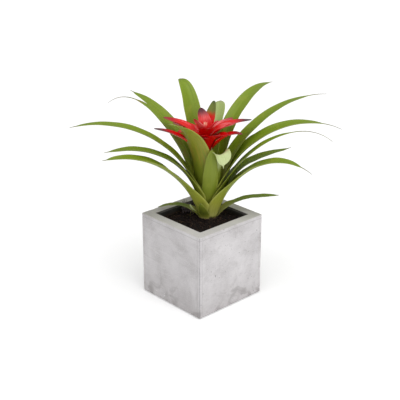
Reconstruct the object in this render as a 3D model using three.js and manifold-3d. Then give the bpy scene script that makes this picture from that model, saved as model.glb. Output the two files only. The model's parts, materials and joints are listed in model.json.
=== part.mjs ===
// A cube planter of cast concrete with a lift-out planting: a plastic liner with gravel, potting
// mix and one bromeliad with a red flower. Millimetres, +Z up. The origin is the centre of the
// square base, on the floor. The front corner is at -X, -Y.
import * as THREE from "three";
import { mergeVertices } from "three/addons/utils/BufferGeometryUtils.js";
import Module from "manifold-3d";

const wasm = await Module();
wasm.setup();

// Driving dimensions of the planter and its filling.
const SIDE = 150;
const PAD_HEIGHT = 2;
const PAD_INSET = 7;
const TOP = 153;
const WALL = 18;
const BASE = 16;
const EDGE = 1.5; // small bevel on the cast edges
const CORNER = 3; // rounding of the upright edges
const INNER_CORNER = 4; // rounding of the cavity's and the liner's upright edges
const FILL_CORNER = 3;
const PAD_CORNER = 8;
const DRAFT = 2; // how much the cavity narrows towards its floor, on each side
const GAP = 0.3; // between pieces that touch
const MERGE = 1e-3; // points closer than this are one point
const LINER_WALL = 1.6;
const LINER_CLEARANCE = 0.6;
const LINER_BELOW_RIM = 3;
const LINER_CHAMFER = 2;
const GRAVEL_DEPTH = 16;
const GRAVEL_GRAIN = 4;
const SOIL_ABOVE_GRAVEL = 2;
const SOIL_EDGE = 141; // soil level along the walls
const SOIL_MOUND = 4; // how much higher the soil stands round the plant
const SOIL_MOUND_RADIUS = 30;
const SOIL_UNEVENNESS = 0.8;
const SOIL_GRAIN = 7;

// Driving dimensions of the plant, which stands a little off the planter's centre.
const PLANT_X = 14;
const PLANT_Y = -1;
const FLOWER_X = 10;
const FLOWER_Y = 3;
const CROWN_TOP = 146;
const CROWN_RADIUS = 18;
const ROOT_BOTTOM = 48;
const ROOT_WIDTHS = [[29, ROOT_BOTTOM], [35, 118], [31, 128], [22, 134]]; // radius and height
const STALK_RADIUS = 4;
const STALK_SWELL = 0.6; // wider at the foot
const STALK_TAPER = 1; // narrower at the top
const STALK_NECK = 20; // where the taper starts, below the top
const STALK_TOP = 302;
const BUD_RADIUS = 4.5;
const BUD_STRETCH = 1.8;
const SHEATH_RADIUS = 6; // innermost leaf's foot
const SHEATH_PITCH = 1.25; // from one leaf layer to the next
const SHEATH_WRAP = 2.2; // how far a foot reaches round the stem, in radians
const SHEATH_OPENING = 0.3; // share of the sheath that keeps the foot's width
const ARC_OPENING = [0.15, 1.2]; // from here to here, in sheaths, a blade's arc flattens
const LEAF_THICKNESS = 0.9;
const BRACT_THICKNESS = 0.8;
const BRACT_PITCH = 1.2; // from one bract layer to the next, outwards
const BRACT_STEP = 2; // from one bract layer to the next, downwards
const BRACT_DEPTH = 10; // innermost bract's foot below the stalk's top
const TIP_ROUNDING = 0.7;
const TIP_WIDTH = 0.8;
const TAIL_WIDTH = 1.8; // added to the tip's width along the tail
const SHORTEST_TAIL = 0.02;

const FINISH = {
  concrete: { color: 0xc4c0c0, roughness: 0.85, metalness: 0 },
  pad: { color: 0x2b2a28, roughness: 0.9, metalness: 0 },
  liner: { color: 0x1d1c19, roughness: 0.6, metalness: 0 },
  gravel: { color: 0x8d867a, roughness: 0.9, metalness: 0 },
  soil: { color: 0x2a1b14, roughness: 1, metalness: 0 },
  roots: { color: 0x4a3626, roughness: 1, metalness: 0 },
  leaf: { color: 0x6f9a3c, roughness: 0.45, metalness: 0 },
  stalk: { color: 0x8fa04a, roughness: 0.5, metalness: 0 },
  bract: { color: 0xcc1416, roughness: 0.35, metalness: 0 },
  bud: { color: 0xe0b040, roughness: 0.4, metalness: 0 },
};

const finishes = {};
for (const [name, look] of Object.entries(FINISH)) {
  finishes[name] = new THREE.MeshStandardMaterial(look);
}

const part = new THREE.Group();

function add(name, geometry, finish) {
  const mesh = new THREE.Mesh(geometry, finishes[finish]);
  mesh.name = name;
  part.add(mesh);
  return mesh;
}

// ---- closed meshes, and cutting one from another ----

function meshOf(points, faces) {
  const geometry = new THREE.BufferGeometry();
  geometry.setAttribute("position", new THREE.Float32BufferAttribute(points.flat(), 3));
  geometry.setIndex(faces.flat());
  return geometry;
}

function solidOf(geometry) {
  const bare = geometry.clone();
  bare.deleteAttribute("normal");
  bare.deleteAttribute("uv");
  const merged = mergeVertices(bare, MERGE);
  const mesh = new wasm.Mesh({
    numProp: 3,
    vertProperties: merged.attributes.position.array,
    triVerts: new Uint32Array(merged.index.array),
  });
  return new wasm.Manifold(mesh);
}

function geometryOf(solid) {
  const mesh = solid.getMesh();
  const geometry = new THREE.BufferGeometry();
  geometry.setAttribute("position", new THREE.BufferAttribute(mesh.vertProperties, 3));
  geometry.setIndex(new THREE.BufferAttribute(mesh.triVerts, 1));
  return geometry;
}

// The main body of a cut piece, without crumbs.
function trimmed(solid) {
  const bodies = solid.decompose();
  return geometryOf(bodies.reduce((best, body) => (body.volume() > best.volume() ? body : best)));
}

// The faces between rings that all have count points. forward(i) tells which way the cell after
// point i is split in two.
function sideFaces(ringCount, count, forward) {
  const faces = [];
  for (let ring = 0; ring + 1 < ringCount; ring++) {
    for (let i = 0; i < count; i++) {
      const a = ring * count + i;
      const b = ring * count + ((i + 1) % count);
      const c = a + count;
      const d = b + count;
      if (forward(i)) {
        faces.push([a, b, d], [a, d, c]);
      } else {
        faces.push([a, b, c], [b, d, c]);
      }
    }
  }
  return faces;
}

// A solid through rounded rings, closed with a fan at each end.
function loft(rings) {
  const count = rings[0].length;
  const points = rings.flat();
  const faces = sideFaces(rings.length, count, () => false);
  const centre = (ring) => [0, 1, 2].map((k) => ring.reduce((sum, p) => sum + p[k], 0) / count);
  const last = (rings.length - 1) * count;
  const bottom = points.push(centre(rings[0])) - 1;
  const top = points.push(centre(rings.at(-1))) - 1;
  for (let i = 0; i < count; i++) {
    const next = (i + 1) % count;
    faces.push([bottom, next, i], [top, last + i, last + next]);
  }
  return meshOf(points, faces);
}

// A thin curved strip through rings that run along one face and back along the other. Both faces
// fold along the same lines, mirrored about the middle, and the ends are closed across the strip.
function stripLoft(rings) {
  const count = rings[0].length;
  const across = count / 2 - 1;
  const forward = (i) => i < across / 2 || (i > across && i <= 1.5 * across);
  const faces = sideFaces(rings.length, count, forward);
  const last = (rings.length - 1) * count;
  for (let i = 0; i < across; i++) {
    const [a, b, c, d] = [i, i + 1, count - 2 - i, count - 1 - i];
    faces.push([a, c, b], [a, d, c]);
    faces.push([last + a, last + b, last + c], [last + a, last + c, last + d]);
  }
  return meshOf(rings.flat(), faces);
}

// ---- square shapes with rounded corners ----

// Anticlockwise outline of a square at height z, with each straight side in sideSteps.
function squareRing(half, radius, z, sideSteps = 1, cornerSteps = 3) {
  const ring = [];
  for (let corner = 0; corner < 4; corner++) {
    const turn = (corner * Math.PI) / 2;
    const place = (x, y) => [
      x * Math.cos(turn) - y * Math.sin(turn),
      x * Math.sin(turn) + y * Math.cos(turn),
      z,
    ];
    for (let i = 0; i <= cornerSteps; i++) {
      const angle = (i / cornerSteps) * (Math.PI / 2);
      const reach = half - radius;
      ring.push(place(reach + radius * Math.cos(angle), reach + radius * Math.sin(angle)));
    }
    for (let i = 1; i < sideSteps; i++) {
      ring.push(place((half - radius) * (1 - (2 * i) / sideSteps), half));
    }
  }
  return ring;
}

const squareSolid = (levels) => loft(levels.map(([half, radius, z]) => squareRing(half, radius, z)));

// A gentle unevenness, the same every time, between -1 and 1.
function unevenness(x, y, grain) {
  const wave = Math.sin(x / grain + 1.3) * Math.cos(y / grain - 0.6);
  const ripple = Math.sin((x - 2 * y) / (grain * 1.7) + 2.1);
  return 0.6 * wave + 0.4 * ripple;
}

// A square fill with a flat bottom and an uneven top that follows heightAt(x, y), in nested rings.
function fill(half, bottom, heightAt, rings) {
  const outline = squareRing(half, FILL_CORNER, 0, 8, 2);
  const shrunk = (share) => outline.map(([x, y]) => [x * share, y * share]);
  const top = (share) => shrunk(share).map(([x, y]) => [x, y, heightAt(x, y)]);
  const levels = [shrunk(1).map(([x, y]) => [x, y, bottom])];
  for (let ring = rings; ring > 0; ring--) {
    levels.push(top(ring / rings));
  }
  return loft(levels);
}

// ---- planter ----

const half = SIDE / 2;
const cavityHalf = half - WALL;
const cavityFloor = PAD_HEIGHT + BASE;

function planterShell() {
  const outside = squareSolid([
    [half - EDGE, CORNER - EDGE, PAD_HEIGHT],
    [half, CORNER, PAD_HEIGHT + EDGE],
    [half, CORNER, TOP - EDGE],
    [half - EDGE, CORNER - EDGE, TOP],
  ]);
  const inside = squareSolid([
    [cavityHalf - DRAFT, INNER_CORNER, cavityFloor],
    [cavityHalf, INNER_CORNER, TOP - EDGE],
    [cavityHalf + EDGE, INNER_CORNER + EDGE, TOP],
    [cavityHalf + 2 * EDGE, INNER_CORNER + 2 * EDGE, TOP + EDGE],
  ]);
  return geometryOf(solidOf(outside).subtract(solidOf(inside)));
}

add("concrete_planter", planterShell(), "concrete");

function basePad() {
  const padHalf = half - PAD_INSET;
  return squareSolid([[padHalf, PAD_CORNER, 0], [padHalf, PAD_CORNER, PAD_HEIGHT - GAP / 6]]);
}

add("base_pad", basePad(), "pad");

// ---- liner and filling ----

const linerBottom = cavityFloor + GAP;
const linerTop = TOP - LINER_BELOW_RIM;

// Half the cavity's width at height z.
function cavityHalfAt(z) {
  return cavityHalf - (DRAFT * (TOP - EDGE - z)) / (TOP - EDGE - cavityFloor);
}

function linerHalfAt(z, inset) {
  return cavityHalfAt(z) - LINER_CLEARANCE - inset;
}

function linerShell() {
  const floor = linerBottom + LINER_WALL;
  const outside = squareSolid([
    [linerHalfAt(linerBottom, LINER_CHAMFER), INNER_CORNER, linerBottom],
    [linerHalfAt(linerBottom + LINER_CHAMFER, 0), INNER_CORNER, linerBottom + LINER_CHAMFER],
    [linerHalfAt(linerTop, 0), INNER_CORNER, linerTop],
  ]);
  const overTop = linerTop + LINER_WALL;
  const inside = squareSolid([
    [linerHalfAt(floor, LINER_WALL), FILL_CORNER, floor],
    [linerHalfAt(overTop, LINER_WALL), FILL_CORNER, overTop],
  ]);
  return geometryOf(solidOf(outside).subtract(solidOf(inside)));
}

add("inner_liner", linerShell(), "liner");

const fillInset = LINER_WALL + GAP;
const gravelBottom = linerBottom + LINER_WALL + GAP;
const gravelTop = gravelBottom + GRAVEL_DEPTH;
const soilBottom = gravelTop + SOIL_ABOVE_GRAVEL;

function gravelBed() {
  const heightAt = (x, y) => gravelTop + unevenness(x, y, GRAVEL_GRAIN);
  return fill(linerHalfAt(gravelBottom, fillInset), gravelBottom, heightAt, 5);
}

add("drainage_gravel", gravelBed(), "gravel");

function soilHeightAt(x, y) {
  const away = Math.hypot(x - PLANT_X, y - PLANT_Y);
  const mound = SOIL_MOUND * Math.exp(-((away / SOIL_MOUND_RADIUS) ** 2));
  return SOIL_EDGE + mound + SOIL_UNEVENNESS * unevenness(x, y, SOIL_GRAIN);
}

// The roots and the short crown that the leaves stand on, grown out by the given amount.
function rootBall(grow) {
  const profile = [
    [0, ROOT_BOTTOM - grow],
    ...ROOT_WIDTHS.map(([radius, z]) => [radius + grow, z === ROOT_BOTTOM ? z - grow : z + grow]),
    [CROWN_RADIUS + grow, SOIL_EDGE],
    [CROWN_RADIUS + grow, CROWN_TOP + grow],
    [0, CROWN_TOP + grow],
  ];
  const turned = new THREE.LatheGeometry(profile.map(([r, z]) => new THREE.Vector2(r, z)), 20);
  turned.rotateX(Math.PI / 2);
  turned.translate(PLANT_X, PLANT_Y, 0);
  return turned;
}

function soilBlock() {
  const block = fill(linerHalfAt(soilBottom, fillInset), soilBottom, soilHeightAt, 7);
  return trimmed(solidOf(block).subtract(solidOf(rootBall(GAP))));
}

add("potting_soil", soilBlock(), "soil");
add("root_ball", rootBall(0), "roots");

// ---- leaves and bracts ----

const radians = (degrees) => (degrees * Math.PI) / 180;

// The midrib is one curve in an upright plane through the plant's axis: it leaves the foot at
// lean degrees from upright and reaches its tip heading droop degrees from upright.
function midrib({ foot, footHeight, lean, reach, height, droop, footPull = 0.42, tipPull = 0.36 }) {
  const start = new THREE.Vector2(foot, footHeight);
  const end = new THREE.Vector2(reach, height);
  const span = start.distanceTo(end);
  const towards = (degrees, length) =>
    new THREE.Vector2(Math.sin(radians(degrees)), Math.cos(radians(degrees))).multiplyScalar(length);
  const first = start.clone().add(towards(lean, footPull * span));
  const second = end.clone().sub(towards(droop, tipPull * span));
  return new THREE.CubicBezierCurve(start, first, second, end);
}

// Width of a blade at share t of its length, where its midrib is the given radius from the stem's
// axis: a foot that wraps the stem, a long blade, and a thin tail at the tip.
function bladeWidth(t, radius, { width, wrap, widestFoot, sheathEnd, point, tail }) {
  const foot = Math.min(wrap * radius, widestFoot);
  const opening = THREE.MathUtils.smoothstep(t, SHEATH_OPENING * sheathEnd, sheathEnd);
  const body = Math.max(1 - (t / (1 - tail)) ** point, 0) ** TIP_ROUNDING;
  const rest = Math.min((1 - t) / Math.max(tail, SHORTEST_TAIL), 1);
  return THREE.MathUtils.lerp(foot, width, opening) * body + TIP_WIDTH + TAIL_WIDTH * rest;
}

// A blade swept along its midrib. Each section is an arc, which clasps the stem at the foot and
// opens to a shallow channel further out. grow makes it larger all round, to cut room for it.
function blade(shape, grow = 0) {
  const rib = midrib(shape);
  const { steps, across, thickness } = shape;
  const heading = radians(shape.compass);
  const up = new THREE.Vector3(0, 0, 1);
  const out = new THREE.Vector3(Math.cos(heading), Math.sin(heading), 0);
  const side = new THREE.Vector3(-out.y, out.x, 0);
  const rings = [];
  for (let step = 0; step <= steps; step++) {
    const t = step / steps;
    const at = rib.getPointAt(t);
    const along = rib.getTangentAt(t);
    const inward = out.clone().multiplyScalar(-along.y).addScaledVector(up, along.x);
    const stretch = step === 0 ? -grow : step === steps ? grow : 0;
    const middle = new THREE.Vector3(shape.x, shape.y, 0)
      .addScaledVector(out, at.x + along.x * stretch)
      .addScaledVector(up, at.y + along.y * stretch);
    const opened = THREE.MathUtils.smoothstep(t / shape.sheathEnd, ...ARC_OPENING);
    const bend = THREE.MathUtils.lerp(at.x, shape.bend, opened);
    const halfAngle = (bladeWidth(t, at.x, shape) / 2 + grow) / bend;
    const arc = (share, lift) => {
      const angle = share * halfAngle;
      const radius = bend - lift;
      return middle
        .clone()
        .addScaledVector(side, radius * Math.sin(angle))
        .addScaledVector(inward, bend - radius * Math.cos(angle))
        .toArray();
    };
    const ring = [];
    for (let i = 0; i <= across; i++) {
      ring.push(arc(-1 + (2 * i) / across, -thickness / 2 - grow));
    }
    for (let i = across; i >= 0; i--) {
      ring.push(arc(-1 + (2 * i) / across, thickness / 2 + grow));
    }
    rings.push(ring);
  }
  return stripLoft(rings);
}

const LEAF = {
  steps: 10,
  across: 3,
  thickness: LEAF_THICKNESS,
  wrap: SHEATH_WRAP,
  widestFoot: 46,
  sheathEnd: 0.34,
  point: 6,
  tail: 0.04,
  bend: 24,
};

// Leaves from the inside of the rosette outwards: name, compass, lean, reach, rise, droop, width,
// layer, and what differs from LEAF. Compass, lean and droop are in degrees. Reach, rise above the
// crown and width are in millimetres. layer counts the sheaths from the stalk.
const LEAVES = [
  ["leaf_inner_front", 235, 15, 40, 140, 5, 28, 0, { point: 4 }],
  ["leaf_inner_back", 32, 0, 90, 185, 60, 24, 0, { point: 20, tail: 0 }],
  ["leaf_front_arched", 259, 16, 48, 102, 170, 38, 1, { point: 14, tipPull: 0.7, bend: 19 }],
  ["leaf_front_broad", 184, 5, 98, 190, 75, 58, 1, { point: 4, bend: 46 }],
  ["leaf_back_broad", 74, 14, 110, 222, 95, 31, 2, { point: 9, tail: 0, bend: 40, tipPull: 0.2 }],
  ["leaf_right_1", 10, 0, 200, 200, 100, 30, 2, { footPull: 0.46, point: 5 }],
  ["leaf_left_1", 95, 5, 190, 193, 80, 28, 3, { point: 5 }],
  ["leaf_right_2", 340, 4, 230, 196, 98, 34, 3, { point: 2.6, tail: 0.12 }],
  ["leaf_left_2", 115, 5, 190, 185, 130, 22, 4, { point: 4, tail: 0.2 }],
  ["leaf_right_3", 325, 3, 235, 148, 118, 34, 4, { footPull: 0.5, tail: 0.12 }],
  ["leaf_left_3", 140, 2, 235, 165, 105, 26, 5, { footPull: 0.46 }],
  ["leaf_right_4", 310, 5, 210, 145, 130, 24, 5, { point: 4, tail: 0.26 }],
  ["leaf_right_short", 353, 12, 130, 130, 105, 20, 6, { point: 3, tail: 0.25 }],
  ["leaf_left_4", 150, 3, 180, 130, 100, 28, 6, { footPull: 0.5, sheathEnd: 0.42 }],
  ["leaf_back_low_1", 50, 15, 120, 70, 110, 22, 6, {}],
  ["leaf_right_5", 335, 10, 155, 110, 80, 26, 7, { footPull: 0.55, sheathEnd: 0.42, point: 4 }],
  ["leaf_left_5", 160, 18, 190, 128, 95, 32, 7, { wrap: 2.6, widestFoot: 58, sheathEnd: 0.46 }],
  [
    "leaf_right_6", 302, 14, 180, 94, 128, 30, 8,
    { footPull: 0.54, wrap: 2.6, widestFoot: 60, sheathEnd: 0.48, tail: 0.1 },
  ],
  ["leaf_front_small", 208, 24, 40, 38, 20, 15, 8, { wrap: 0.8, bend: 16, point: 3 }],
  ["leaf_front_stub", 172, 24, 38, 30, 10, 10, 9, { wrap: 0.5, point: 4 }],
  ["leaf_left_low", 130, 38, 90, 11, 110, 12, 9, { wrap: 0.8 }],
  ["leaf_back_low_2", 60, 30, 85, 35, 115, 18, 9, { wrap: 1.2 }],
  ["leaf_right_low", 315, 35, 125, 40, 85, 16, 9, { wrap: 1 }],
];

function leafShape([name, compass, lean, reach, rise, droop, width, layer, extra]) {
  const foot = SHEATH_RADIUS + layer * SHEATH_PITCH;
  const place = { x: PLANT_X, y: PLANT_Y, foot, footHeight: CROWN_TOP + GAP, height: CROWN_TOP + rise };
  return { ...LEAF, ...place, name, compass, lean, reach, droop, width, ...extra };
}

const BRACT = {
  steps: 6,
  across: 2,
  thickness: BRACT_THICKNESS,
  wrap: 2,
  widestFoot: 15,
  sheathEnd: 0.35,
  point: 2.6,
  tail: 0,
  bend: 16,
};

// Bracts from the inside of the flower outwards: compass, lean, reach, rise from their own foot on
// the stalk, droop, width, layer, and how much lower than its layer the foot stands.
const BRACTS = [
  [85, 2, 12, 48, 8, 34, 0, 0],
  [180, 14, 24, 36, 25, 28, 0, 0],
  [300, 20, 24, 30, 60, 22, 0, 0],
  [15, 15, 30, 58, 20, 22, 1, 0],
  [240, 20, 26, 24, 60, 28, 1, 0],
  [110, 42, 62, 20, 75, 26, 2, 0],
  [160, 40, 50, 18, 80, 28, 2, 0],
  [320, 35, 52, 26, 75, 26, 2, 0],
  [335, 35, 85, 28, 85, 22, 3, 0],
  [120, 40, 75, 34, 70, 26, 3, 0],
  [205, 30, 40, 26, 75, 32, 3, 8],
  [0, 45, 66, 28, 70, 24, 4, 0],
  [150, 45, 88, 46, 75, 24, 4, 18],
  [285, 30, 46, 26, 80, 32, 4, 8],
  [45, 45, 60, 25, 75, 20, 5, 0],
  [300, 35, 66, 34, 95, 26, 5, 14],
  [262, 26, 40, 34, 70, 34, 5, 12],
  [225, 24, 34, 34, 65, 32, 5, 16],
];

function bractShape([compass, lean, reach, rise, droop, width, layer, drop], index) {
  const foot = STALK_RADIUS + BRACT_PITCH * (layer + 1);
  const footHeight = STALK_TOP - BRACT_DEPTH - layer * BRACT_STEP - drop;
  const place = { x: FLOWER_X, y: FLOWER_Y, foot, footHeight, height: footHeight + rise };
  return { ...BRACT, ...place, name: `bract_${index + 1}`, compass, lean, reach, droop, width };
}

function stalk(grow) {
  const profile = [
    [0, CROWN_TOP + GAP - grow],
    [STALK_RADIUS + STALK_SWELL + grow, CROWN_TOP + GAP - grow],
    [STALK_RADIUS + grow, STALK_TOP - STALK_NECK],
    [STALK_RADIUS - STALK_TAPER + grow, STALK_TOP + grow],
    [0, STALK_TOP + grow],
  ];
  const turned = new THREE.LatheGeometry(profile.map(([r, z]) => new THREE.Vector2(r, z)), 10);
  turned.rotateX(Math.PI / 2);
  const slant = new THREE.Matrix4();
  const height = STALK_TOP - CROWN_TOP;
  slant.makeShear(0, 0, 0, 0, (FLOWER_X - PLANT_X) / height, (FLOWER_Y - PLANT_Y) / height);
  turned.translate(0, 0, -CROWN_TOP);
  turned.applyMatrix4(slant);
  turned.translate(PLANT_X, PLANT_Y, CROWN_TOP);
  return turned;
}

function budCluster() {
  const bud = new THREE.SphereGeometry(BUD_RADIUS, 10, 6);
  bud.rotateX(Math.PI / 2);
  bud.scale(1, 1, BUD_STRETCH);
  bud.translate(FLOWER_X, FLOWER_Y, STALK_TOP + GAP + BUD_RADIUS * BUD_STRETCH);
  return bud;
}

add("flower_stalk", stalk(0), "stalk");
add("flower_bud", budCluster(), "bud");

// Each blade keeps clear of the crown, the stalk, the bud and the blades inside it.
let taken = solidOf(rootBall(GAP)).add(solidOf(stalk(GAP))).add(solidOf(budCluster()));

function addBlade(shape, finish) {
  add(shape.name, trimmed(solidOf(blade(shape)).subtract(taken)), finish);
  taken = taken.add(solidOf(blade(shape, GAP)));
}

LEAVES.map(leafShape).forEach((shape) => addBlade(shape, "leaf"));
BRACTS.map(bractShape).forEach((shape) => addBlade(shape, "bract"));

export default part;
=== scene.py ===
import json
import math
import random

import bpy
import numpy as np
from mathutils import Euler, Matrix, Vector, noise

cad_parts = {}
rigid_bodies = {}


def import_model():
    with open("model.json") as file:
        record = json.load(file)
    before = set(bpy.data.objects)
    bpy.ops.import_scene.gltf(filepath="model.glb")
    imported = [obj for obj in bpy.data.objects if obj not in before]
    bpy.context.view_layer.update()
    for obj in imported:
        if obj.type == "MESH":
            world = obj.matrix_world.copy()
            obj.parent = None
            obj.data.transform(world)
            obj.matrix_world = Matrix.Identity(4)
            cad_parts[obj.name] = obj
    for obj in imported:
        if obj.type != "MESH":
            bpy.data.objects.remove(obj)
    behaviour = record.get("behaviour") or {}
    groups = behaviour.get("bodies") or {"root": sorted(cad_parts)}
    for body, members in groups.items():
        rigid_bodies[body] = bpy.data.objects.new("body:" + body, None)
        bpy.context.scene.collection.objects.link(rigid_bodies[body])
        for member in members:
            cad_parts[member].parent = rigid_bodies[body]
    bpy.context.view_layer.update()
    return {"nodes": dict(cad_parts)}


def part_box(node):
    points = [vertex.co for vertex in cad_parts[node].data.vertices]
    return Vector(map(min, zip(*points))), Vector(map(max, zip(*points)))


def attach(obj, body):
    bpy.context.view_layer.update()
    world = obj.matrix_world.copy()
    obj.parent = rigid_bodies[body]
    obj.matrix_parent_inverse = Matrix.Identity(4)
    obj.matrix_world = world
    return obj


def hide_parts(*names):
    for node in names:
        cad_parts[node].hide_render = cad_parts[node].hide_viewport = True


# A cube planter of cast concrete with a potted bromeliad. Metres, +Z up, in the CAD model's frame.
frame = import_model()
print("frame loaded,", len(frame["nodes"]), "CAD nodes")

sceneObjects = bpy.context.scene.collection.objects
mm = 0.001

# camera, floor and light

cameraSetup = {
    "lens": 80,
    "azimuth": -43,
    "elevation": 22.1,
    "distance": 1.551,
    "lookAt": (-0.0023, 0.0022, 0.1785),
}

studio = {
    "floorSize": 40,
    "floorTone": 0.9,
    "floorGlow": 0.2,
    "worldStrength": 0.5,
    "suns": [
        # name, compass it comes from, height above the horizon, strength, softness in degrees
        ("topLight", 240, 74, 1.4, 50),
        ("frontLight", 254, 22, 0.68, 50),
    ],
}


def placeCamera(setup):
    azimuth, elevation = math.radians(setup["azimuth"]), math.radians(setup["elevation"])
    level = math.cos(elevation)
    back = Vector((math.sin(azimuth) * level, -math.cos(azimuth) * level, math.sin(elevation)))
    camera = bpy.data.objects.new("camera", bpy.data.cameras.new("camera"))
    camera.data.lens = setup["lens"]
    camera.data.sensor_width = 36
    camera.location = Vector(setup["lookAt"]) + back * setup["distance"]
    camera.rotation_euler = (-back).to_track_quat("-Z", "Y").to_euler()
    sceneObjects.link(camera)
    bpy.context.scene.camera = camera


def placeSun(name, compass, height, strength, softness):
    sun = bpy.data.objects.new(name, bpy.data.lights.new(name, "SUN"))
    sun.data.energy = strength
    sun.data.angle = math.radians(softness)
    turn, rise = math.radians(compass), math.radians(height)
    towardsSun = Vector((math.cos(turn) * math.cos(rise), math.sin(turn) * math.cos(rise), math.sin(rise)))
    sun.location = towardsSun * 2
    sun.rotation_euler = (-towardsSun).to_track_quat("-Z", "Y").to_euler()
    sceneObjects.link(sun)


placeCamera(cameraSetup)
for row in studio["suns"]:
    placeSun(*row)
bpy.context.scene.view_settings.view_transform = "Standard"
world = bpy.data.worlds.new("studio")
bpy.context.scene.world = world
world.use_nodes = True
world.node_tree.nodes["Background"].inputs["Color"].default_value = (1, 1, 1, 1)
world.node_tree.nodes["Background"].inputs["Strength"].default_value = studio["worldStrength"]


# node tools: a socket as a value is linked, anything else is set


def put(tree, kind, inputs=None, **settings):
    node = tree.nodes.new(kind)
    for key, value in settings.items():
        setattr(node, key, value)
    for key, value in (inputs or {}).items():
        if isinstance(value, bpy.types.NodeSocket):
            tree.links.new(value, node.inputs[key])
        else:
            node.inputs[key].default_value = value
    return node


def rgb(red, green, blue):  # screen values from 0 to 255
    shares = [c / 255 for c in (red, green, blue)]
    return tuple(((c + 0.055) / 1.055) ** 2.4 if c > 10 / 255 else c / 12.92 for c in shares) + (1,)


def math2(tree, operation, a, b=0.0, c=0.0):
    return put(tree, "ShaderNodeMath", {0: a, 1: b, 2: c}, operation=operation).outputs[0]


def times(tree, a, b):
    return math2(tree, "MULTIPLY", a, b)


def plus(tree, a, b):
    return math2(tree, "ADD", a, b)


def minus(tree, a, b):
    return math2(tree, "SUBTRACT", a, b)


def remap(tree, value, low, high, toLow=0.0, toHigh=1.0):
    spread = put(
        tree,
        "ShaderNodeMapRange",
        {"Value": value, "From Min": low, "From Max": high, "To Min": toLow, "To Max": toHigh},
        interpolation_type="SMOOTHSTEP",
    )
    return spread.outputs["Result"]


def blendColors(tree, amount, a, b, way="MIX"):
    mix = put(tree, "ShaderNodeMix", {"Factor": amount}, data_type="RGBA", blend_type=way)
    for socket, value in ((mix.inputs[6], a), (mix.inputs[7], b)):
        if isinstance(value, bpy.types.NodeSocket):
            tree.links.new(value, socket)
        else:
            socket.default_value = value
    return mix.outputs[2]


def ramp(tree, value, stops):
    node = put(tree, "ShaderNodeValToRGB", {"Fac": value})
    elements = node.color_ramp.elements
    while len(elements) < len(stops):
        elements.new(0.5)
    for element, (place, tone) in zip(elements, stops):
        element.position = place
        element.color = tone
    return node.outputs["Color"]


def cloud(tree, vector, scale, detail=4.0, roughness=0.6, distortion=0.0):
    inputs = {"Vector": vector, "Scale": scale, "Detail": detail}
    inputs.update({"Roughness": roughness, "Distortion": distortion})
    return put(tree, "ShaderNodeTexNoise", inputs).outputs["Fac"]


def newGroup(name, inputs, outputs):
    group = bpy.data.node_groups.new(name, "ShaderNodeTree")
    for label, kind, value in inputs:
        socket = group.interface.new_socket(name=label, in_out="INPUT", socket_type=kind)
        if value is not None:
            socket.default_value = value
    for label, kind in outputs:
        group.interface.new_socket(name=label, in_out="OUTPUT", socket_type=kind)
    return group, put(group, "NodeGroupInput").outputs, put(group, "NodeGroupOutput").inputs


def grouped(tree, group, inputs):
    node = tree.nodes.new("ShaderNodeGroup")
    node.node_tree = group
    for key, value in inputs.items():
        if isinstance(value, bpy.types.NodeSocket):
            tree.links.new(value, node.inputs[key])
        else:
            node.inputs[key].default_value = value
    return node.outputs


def newMaterial(name, values):
    material = bpy.data.materials.new(name)
    material.use_nodes = True
    shader = material.node_tree.nodes["Principled BSDF"]
    for key, value in values.items():
        shader.inputs[key].default_value = value
    return material, material.node_tree, shader


def finishShader(tree, shader, color, roughness=None, height=None, depth=0.0005, strength=1.0):
    tree.links.new(color, shader.inputs["Base Color"])
    if roughness is not None:
        tree.links.new(roughness, shader.inputs["Roughness"])
    if height is not None:
        bump = put(tree, "ShaderNodeBump", {"Height": height, "Distance": depth, "Strength": strength})
        tree.links.new(bump.outputs["Normal"], shader.inputs["Normal"])


def objectPlace(tree):
    return put(tree, "ShaderNodeTexCoord").outputs["Object"]


def mottled(tree, place, patchScale, speckleScale, share):
    inputs = {"Vector": place, "Patch Scale": patchScale}
    inputs.update({"Speckle Scale": speckleScale, "Speckle Share": share})
    return grouped(tree, mottleGroup, inputs)


# the place turned and stretched, for marks that run one way
def turnedPlace(tree, place, turn, scale):
    inputs = {"Vector": place, "Rotation": turn, "Scale": scale}
    return put(tree, "ShaderNodeMapping", inputs).outputs["Vector"]


# effects that several materials share

# cloudy patches with finer speckle
mottleGroup, source, result = newGroup(
    "mottle",
    [
        ("Vector", "NodeSocketVector", None),
        ("Patch Scale", "NodeSocketFloat", 20),
        ("Speckle Scale", "NodeSocketFloat", 400),
        ("Speckle Share", "NodeSocketFloat", 0.3),
    ],
    [("Patches", "NodeSocketFloat"), ("Speckle", "NodeSocketFloat"), ("Tone", "NodeSocketFloat")],
)
patches = cloud(mottleGroup, source["Vector"], source["Patch Scale"], 5, 0.62, 0.4)
speckle = cloud(mottleGroup, source["Vector"], source["Speckle Scale"], 3, 0.7)
mottleGroup.links.new(patches, result["Patches"])
mottleGroup.links.new(speckle, result["Speckle"])
lessPatches = times(mottleGroup, patches, minus(mottleGroup, 1.0, source["Speckle Share"]))
someSpeckle = times(mottleGroup, speckle, source["Speckle Share"])
mottleGroup.links.new(plus(mottleGroup, lessPatches, someSpeckle), result["Tone"])

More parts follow.
